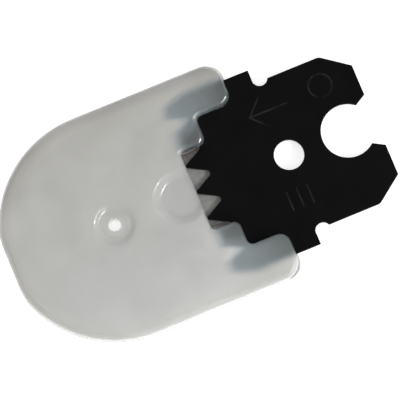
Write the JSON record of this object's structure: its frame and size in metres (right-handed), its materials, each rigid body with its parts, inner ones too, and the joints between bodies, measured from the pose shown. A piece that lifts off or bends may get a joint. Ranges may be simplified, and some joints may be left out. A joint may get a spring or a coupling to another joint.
{
  "type": "algae scraper head",
  "caption": "Flat toothed scraper plate with a locating hole and an open clamp notch, sheathed by a translucent round-nosed wiper boot that slides off.",
  "frame": {"origin": "centre of the plate's round locating hole, in the plate's back face", "axes": "+X from the teeth to the open notch along the plate's centreline, +Z out of the plate's marked face"},
  "size_m": [0.1033, 0.0608, 0.0066],
  "materials": {
    "black_plate": "satin black coating on steel",
    "milky_front": "satin, translucent milky",
    "milky_back": "fine texture, translucent milky"
  },
  "bodies": {
    "plate": {"toothed_plate": "black_plate"},
    "boot": {"boot_front": "milky_front", "boot_back": "milky_back"}
  },
  "joints": [
    {"name": "boot_slide", "type": "slide", "parent": "plate", "child": "boot", "axis": [-1, 0, 0], "range_m": [0, 0.022]}
  ]
}
